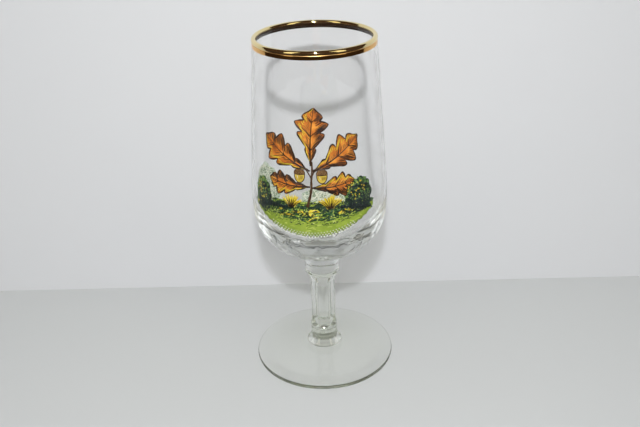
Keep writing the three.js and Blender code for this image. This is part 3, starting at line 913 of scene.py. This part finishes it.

# %% [markdown]
# Burnished gold is a metal: all its colour is in its reflection. Two materials would leave a hard
# border between band and bead, so one changes with the height. The band under the bead is thinner and
# redder than the bead, and rougher in the crease between them, where the burnisher doesn't reach.
# Brushed on round the rim, the gold has fine streaks that run along it. The underside is what the
# firing leaves on glass, a dull reddish brown; the inner band gets the same colour as painted shade.

# %% Gold finish
BAND_GOLD, BEAD_GOLD = (0.9, 0.52, 0.18, 1), (0.93, 0.78, 0.41, 1)
# The dull colours of the fired underside, also laid on the band inside as painted shade.
DULL_DARK, DULL_LIGHT = (0.016, 0.007, 0.002), (0.055, 0.024, 0.008)
CREASE_ROUGH = 0.4
BLACK = (0, 0, 0)
ROUND_THE_RIM, MOTTLE = (1, 1, 40), (1, 1, 6)  # patterns drawn out along the rim


def gold_finish():
    """Gold whose colour goes from the orange band to the paler bead by height, with streaks along the rim."""
    material, tree, shader, output = new_material("burnished gold", Metallic=1.0)
    over_crease = ranged(tree, own_height(tree), (CREASE - 0.3) * MM, (CREASE + 0.5) * MM)
    color = mixed_color(tree, over_crease, BAND_GOLD, BEAD_GOLD)
    streaks = noise(tree, 60, 3, ROUND_THE_RIM)
    crease = ramp(tree, over_crease, (0.1, BLACK), (0.36, (CREASE_ROUGH,) * 3), (0.62, BLACK))
    rough = math_node(tree, "ADD", ranged(tree, streaks, 0, 1, 0.03, 0.1), crease)
    dress(tree, shader, Base_Color=color, Roughness=rough, Normal=bump(tree, streaks, 0.6, 0.00001))
    return material


def dull_gold_and_painted_shade_finish():
    """The fired underside, dull reddish brown with a faint metal sheen, mottled along the rim; painted shade
    on the inner band.
    """
    material, tree, shader, output = new_material(
        "fired underside of the gold and painted shade inside", Metallic=0.2, Roughness=0.4, Specular_IOR_Level=0.2
    )
    mottle = noise(tree, 150, 3, MOTTLE)
    dress(tree, shader, Base_Color=ramp(tree, mottle, (0, DULL_DARK), (1, DULL_LIGHT)))
    return material


paint(gold_finish(), gold[0])
# The underside gets its own fired colour; the band inside gets the same colour as painted shade.
paint(dull_gold_and_painted_shade_finish(), *gold[1:])
print("gold on", len(gold), "skins")

# %% [markdown]
# Fired enamel is coloured glass with a satin gloss. Each ink has a wash of three shades of its colour,
# from a large noise, and a fine grain in its height and roughness, as screen printing leaves. The films
# are thinner than a hair, so most of a lamp's light passes them, and the print hardly shows in the
# shadow of the glass.

# %% Ink finish
INK_THROUGH = 0.9
PATCH, GRAIN = 260, 2600
LEAF_EDGE = (0.27, 0.075, 0.012, 1)


def leaf_brown(tree, wash):
    """The wash of an ink made browner to the leaf's edges by its own map, whose V runs across it."""
    across = split(tree, add_node(tree, "ShaderNodeUVMap", uv_map="UVMap").outputs["UV"])["Y"]
    off_middle = math_node(tree, "ABSOLUTE", math_node(tree, "SUBTRACT", across, 0.5))
    return mixed_color(tree, ranged(tree, off_middle, 0.2, 0.5, 0.0, 0.75), wash, LEAF_EDGE)


def ink_finish(name, dark, middle, light, patch=PATCH, on_leaves=False):
    """An enamel whose colour moves between three shades over some millimetres, with a much finer grain."""
    material, tree, shader, output = new_material(name)
    wash = ramp(tree, noise(tree, patch, 5), (0.3, dark), (0.5, middle), (0.7, light))
    if on_leaves:
        wash = leaf_brown(tree, wash)
    grain = noise(tree, GRAIN, 2)
    rough = ranged(tree, grain, 0, 1, 0.3, 0.5)
    dress(tree, shader, Base_Color=wash, Roughness=rough, Normal=bump(tree, grain, 0.4, 0.00002))
    lamp_light = math_node(tree, "MULTIPLY", light_path(tree)["Is Shadow Ray"], INK_THROUGH)
    dress(tree, output, Surface=mixed_shader(tree, lamp_light, shader.outputs["BSDF"], clear_film(tree)))
    return material


print("share of a lamp's light that passes an ink:", INK_THROUGH)

# %% Inks
green_pieces = [dark_grass, *shrub_pieces]
yellow_pieces = [yellow_patches, shrub_gold, leaf_light, *tuft_pieces]
pen_pieces = [tuft_lines, leaf_key, leaf_shade, nut_lines]
shadow_pieces = [shade_strip, shrub_dark]
inked = [
    (pale_pieces, "pale grey green ink", (0.26, 0.33, 0.25), (0.38, 0.44, 0.35), (0.5, 0.55, 0.46)),
    ([pale_light, shines], "cream ink", (0.5, 0.54, 0.42), (0.6, 0.62, 0.5), (0.72, 0.72, 0.6)),
    ([meadow_dots], "white ink", (0.7, 0.72, 0.62), (0.78, 0.8, 0.72), (0.85, 0.86, 0.8)),
    ([pale_shade], "sage ink", (0.14, 0.2, 0.11), (0.2, 0.27, 0.16), (0.28, 0.34, 0.22)),
    ([meadow], "meadow green ink", (0.19, 0.27, 0.03), (0.24, 0.34, 0.035), (0.31, 0.41, 0.05), 180),
    ([shade_patches], "shadow green ink", (0.012, 0.06, 0.02), (0.025, 0.1, 0.03), (0.05, 0.16, 0.035), 400),
    ([light_grass], "light green ink", (0.3, 0.42, 0.05), (0.42, 0.52, 0.08), (0.55, 0.62, 0.16)),
    ([shrub_light], "leaf green ink", (0.05, 0.13, 0.03), (0.13, 0.25, 0.05), (0.3, 0.42, 0.12)),
    (green_pieces, "deep green ink", (0.006, 0.02, 0.01), (0.012, 0.04, 0.018), (0.025, 0.07, 0.028)),
    (shadow_pieces, "blue black ink", (0.004, 0.009, 0.012), (0.008, 0.017, 0.02), (0.015, 0.03, 0.034)),
    (yellow_pieces, "yellow ink", (0.48, 0.3, 0.012), (0.64, 0.48, 0.02), (0.78, 0.64, 0.06)),
    (acorn_nuts, "nut ink", (0.3, 0.19, 0.02), (0.46, 0.32, 0.035), (0.62, 0.46, 0.07)),
    (pen_pieces, "dark brown ink", (0.014, 0.006, 0.004), (0.028, 0.012, 0.006), (0.055, 0.022, 0.01)),
    ([twig, cups], "bark brown ink", (0.03, 0.014, 0.007), (0.065, 0.03, 0.012), (0.12, 0.06, 0.025), 500),
    ([scales], "tan ink", (0.36, 0.17, 0.05), (0.5, 0.27, 0.08), (0.62, 0.38, 0.14)),
    (leaf_pieces, "leaf orange", (0.33, 0.085, 0.012), (0.56, 0.17, 0.018), (0.74, 0.32, 0.045), 320, True),
]
for pieces, name, *look in inked:
    paint(ink_finish(name, *look), *pieces)
print("inks:", len(inked))

# %% [markdown]
# The photograph looks a little down on the glass, with a pale wall close behind it and a pale floor.
# The focal length, the pitch and the roll come from a fit of the outline. A photographer's wall could
# be a bent sheet; here it is a plane that leans back a little and is clear from behind, so that it
# doesn't hide the glass there.

# %% Camera
PIXEL_FOCUS, IMAGE_WIDTH, SENSOR = 802.83, 640, 36.0
PITCH, ROLL = math.radians(26.97), math.radians(1.98)
CAMERA_AT = (-0.00018, -0.3428, 0.2528)


def placed(across, above, back, place):
    """The matrix that turns a thing's own axes to three directions and puts it at a place."""
    matrix = np.eye(4)
    matrix[:3] = np.stack([across, above, back, place], -1)
    return Matrix(matrix.tolist())


camera = add_object("camera", bpy.data.cameras.new("camera"))
bpy.context.scene.camera = camera
camera.data.sensor_width = SENSOR
camera.data.lens = PIXEL_FOCUS / IMAGE_WIDTH * SENSOR
right = np.array([1.0, 0, 0])
above = np.array([0, math.sin(PITCH), math.cos(PITCH)])
ahead = np.array([0, math.cos(PITCH), -math.sin(PITCH)])
rolled_right = right * math.cos(ROLL) - above * math.sin(ROLL)
rolled_above = right * math.sin(ROLL) + above * math.cos(ROLL)
camera.matrix_world = placed(rolled_right, rolled_above, -ahead, CAMERA_AT)
print("lens", round(camera.data.lens, 1), "mm")

# %% Floor and wall
FLOOR_COLOR, WALL_COLOR = (0.6, 0.615, 0.615), (0.66, 0.67, 0.69)
FLOOR_HALF, LOW = 3, -0.00005
WALL_Y, WALL_SLOPE, WALL_LEAN, WALL_HALF, WALL_HIGH = 0.06262, -0.0211, 0.12, 0.6, 0.3


def set_part(name, points, faces, material):
    """A part of the set, which the pictures show and the model leaves out."""
    mesh = bpy.data.meshes.new(name)
    mesh.from_pydata(points, [], faces)
    part = add_object(name, mesh)
    paint(material, part)
    return part


def plain_plane(name, corners, color, one_sided):
    """A flat plane in one plain colour; a one-sided one is clear when it is met from behind."""
    values = {"Base_Color": (*color, 1), "Roughness": 0.9, "Specular_IOR_Level": 0.1}
    material, tree, shader, output = new_material(name, **values)
    if one_sided:
        behind = add_node(tree, "ShaderNodeNewGeometry").outputs["Backfacing"]
        dress(tree, output, Surface=mixed_shader(tree, behind, shader.outputs["BSDF"], clear_film(tree)))
    set_part(name, corners, [(0, 1, 2, 3)], material)
    print(name, "of", color)


def wall_corner(side, up):
    """A corner of the wall, which stands a little askew and leans back."""
    along, height = side * WALL_HALF, up * WALL_HIGH
    return along, WALL_Y + along * WALL_SLOPE + height * WALL_LEAN, height or LOW


floor_corners = [(x * FLOOR_HALF, y * FLOOR_HALF, LOW) for x, y in ((-1, -1), (1, -1), (1, 1), (-1, 1))]
wall_corners = [wall_corner(side, up) for side, up in ((-1, 0), (1, 0), (1, 1), (-1, 1))]
plain_plane("floor", floor_corners, FLOOR_COLOR, False)
plain_plane("wall", wall_corners, WALL_COLOR, True)

# %% [markdown]
# A small flash just above the camera throws the sharp shadow on the wall. Two tall strip lights at the
# sides give the gold its bright streaks.

# %% Lights
FLASH_AT, FLASH_AIM, FLASH_SIZE, FLASH_POWER = (0.0, -0.343, 0.3455), (0, 0.06, 0.1), (0.02, 0.013), 0.5
STRIP_X, STRIP_Y, STRIP_Z, STRIP_AIM = 0.6, -0.55, 0.58, (0, 0, 0.12)
STRIP_SIZE, STRIP_POWER, STRIP_COLOR = (0.28, 1.0), 0.95, (1.0, 0.93, 0.7)


def lamp(name, place, aim, size, power, color=(1, 1, 1), spread=180):
    """A rectangular area light at a place, turned to face its aim, fading to the edges of its spread."""
    data = bpy.data.lights.new(name, "AREA")
    data.spread = math.radians(spread)
    data.shape = "RECTANGLE"
    data.size, data.size_y = size
    data.energy = power
    data.color = color
    away = np.array(place, float) - np.array(aim, float)
    away /= np.linalg.norm(away)
    across = np.cross([0, 0, 1], away)
    across /= np.linalg.norm(across)
    add_object(name, data).matrix_world = placed(across, np.cross(away, across), away, place)
    print(name, power, "W")


lamp("flash", FLASH_AT, FLASH_AIM, FLASH_SIZE, FLASH_POWER, spread=125)
for side, where in (("left", -STRIP_X), ("right", STRIP_X)):
    lamp("strip light " + side, (where, STRIP_Y, STRIP_Z), STRIP_AIM, STRIP_SIZE, STRIP_POWER, STRIP_COLOR)

# %% [markdown]
# Glass and gold show the room they stand in: the dark lines in the base, the dark and pale sectors of
# the rim, and the white edges of the bowl are its dark and bright parts. Dark cards and white sheets
# could stand round the object, but they would also dim or tint the wall and the inks. So the room's
# dark and bright parts are kept for mirrored rays alone: a ring on the floor, and the world, which
# turns to another shader for such rays. The light path tells them apart. A ray off the glass' outer
# skin is perfectly sharp, one that went inside counts its passes, and one off the gold does neither,
# because the gold is a little rough.

# %% Which ray it is


def off_skin(tree):
    """1 for a ray that came off the outer skin of the glass, which alone is perfectly sharp, else 0."""
    path = light_path(tree)
    sharp = math_node(tree, "SUBTRACT", path["Is Singular Ray"], path["Transmission Depth"])
    return math_node(tree, "GREATER_THAN", sharp, 0.5)


def mirrored_ray(tree):
    """1 for a ray that was mirrored, else 0; where it met no glass, light that the wall scatters is plain."""
    path = light_path(tree)
    bare = math_node(tree, "LESS_THAN", path["Transmission Depth"], 0.5)
    scattered = math_node(tree, "MULTIPLY", path["Diffuse Depth"], math_node(tree, "MULTIPLY", bare, 100.0))
    return math_node(tree, "GREATER_THAN", math_node(tree, "SUBTRACT", path["Glossy Depth"], scattered), 0.5)


def off_metal(tree):
    """1 for a mirrored ray that met no glass, neither its skin nor its inside: one that came off the gold."""
    met = math_node(tree, "ADD", light_path(tree)["Transmission Depth"], off_skin(tree))
    return math_node(tree, "MULTIPLY", mirrored_ray(tree), math_node(tree, "LESS_THAN", met, 0.5))

# %% Dark rings on the floor
RING_COLOR = (0.05, 0.028, 0.018, 1)
RING_SIDES, RING_HEIGHT, RING_INNER, RING_OUTER = 64, 0.0005, 0.27, 3.0


def dark_ring(name, inner, outer, gold_only):
    """A flat dark ring round the glass, on two circles of points, which mirrored rays alone meet."""
    around = np.linspace(0, 2 * np.pi, RING_SIDES + 1)[:-1]
    points = np.vstack([round_axis(radius, around, RING_HEIGHT) for radius in (inner, outer)])
    i = np.arange(RING_SIDES)
    j = (i + 1) % RING_SIDES
    faces = np.stack([i, i + RING_SIDES, j + RING_SIDES, j], -1)
    material, tree, shader, output = new_material(name, Base_Color=RING_COLOR, Roughness=0.9)
    chosen = off_metal(tree) if gold_only else math_node(tree, "SUBTRACT", mirrored_ray(tree), off_skin(tree))
    dress(tree, output, Surface=mixed_shader(tree, chosen, clear_film(tree), shader.outputs["BSDF"]))
    ring = set_part(name, points.tolist(), faces.tolist(), material)
    ring.visible_camera = ring.visible_diffuse = ring.visible_shadow = False
    print(name, inner, "to", outer, "m")


dark_ring("dark surround", RING_INNER, RING_OUTER, False)
dark_ring("dark table as the gold mirrors it", 0.0, RING_INNER, True)

# %% [markdown]
# The world is a plain pale backdrop. For mirrored rays it is a room. The gold sees it dark brown. The
# glass sees it pale where the ray was mirrored once, less so overhead, and dark grey where it was
# mirrored more often; for both kinds of ray the room is pale at the sides and bright far out.

# %% Room
BACKDROP, DARK_ROOM = (0.6, 0.605, 0.625), (0.055, 0.03, 0.02)
GREY_ROOM, PALE_ROOM = (0.04, 0.04, 0.04), (0.8, 0.81, 0.83)
PALE_SIDES, BRIGHT_SIDES, SIDE_GLOW = (0.75, 0.85), (0.88, 0.94), 1.9
OVERHEAD, OVERHEAD_DIM = (0.3, 0.6), 0.7
world = bpy.data.worlds.new("room")
bpy.context.scene.world = world
world.use_nodes = True
room = world.node_tree
room.nodes.clear()


def glow(color, strength=1.0):
    """A part of the room in one colour."""
    return add_node(room, "ShaderNodeBackground", Color=(*color, 1), Strength=strength).outputs["Background"]


way = split(room, add_node(room, "ShaderNodeTexCoord").outputs["Generated"])
sideways = math_node(room, "ABSOLUTE", way["X"])
path = light_path(room)
met_glass = math_node(room, "ADD", path["Transmission Depth"], off_skin(room))
in_glass = math_node(room, "MINIMUM", met_glass, 1.0)
mirrored_once = math_node(room, "LESS_THAN", path["Glossy Depth"], 1.5)
overhead = ranged(room, way["Z"], *OVERHEAD, 0.0, OVERHEAD_DIM)
once_share = math_node(room, "SUBTRACT", mirrored_once, overhead)
pale_share = math_node(room, "MAXIMUM", ranged(room, sideways, *PALE_SIDES), once_share)
bright_share = ranged(room, sideways, *BRIGHT_SIDES)
pale_part = mixed_shader(room, bright_share, glow(PALE_ROOM), glow((1, 1, 1), SIDE_GLOW))
room_in_glass = mixed_shader(room, pale_share, glow(GREY_ROOM), pale_part)
mirrored_room = mixed_shader(room, in_glass, glow(DARK_ROOM), room_in_glass)
shown = mixed_shader(room, mirrored_ray(room), glow(BACKDROP), mirrored_room)
add_node(room, "ShaderNodeOutputWorld", Surface=shown)
print("room with", len(room.nodes), "nodes")

# %% Picture settings
scene = bpy.context.scene
scene.view_settings.view_transform = "Standard"
scene.cycles.use_denoising = True
scene.cycles.max_bounces = 32
scene.cycles.glossy_bounces = 24
scene.cycles.transmission_bounces = 32
print("a ray may be turned", scene.cycles.max_bounces, "times")
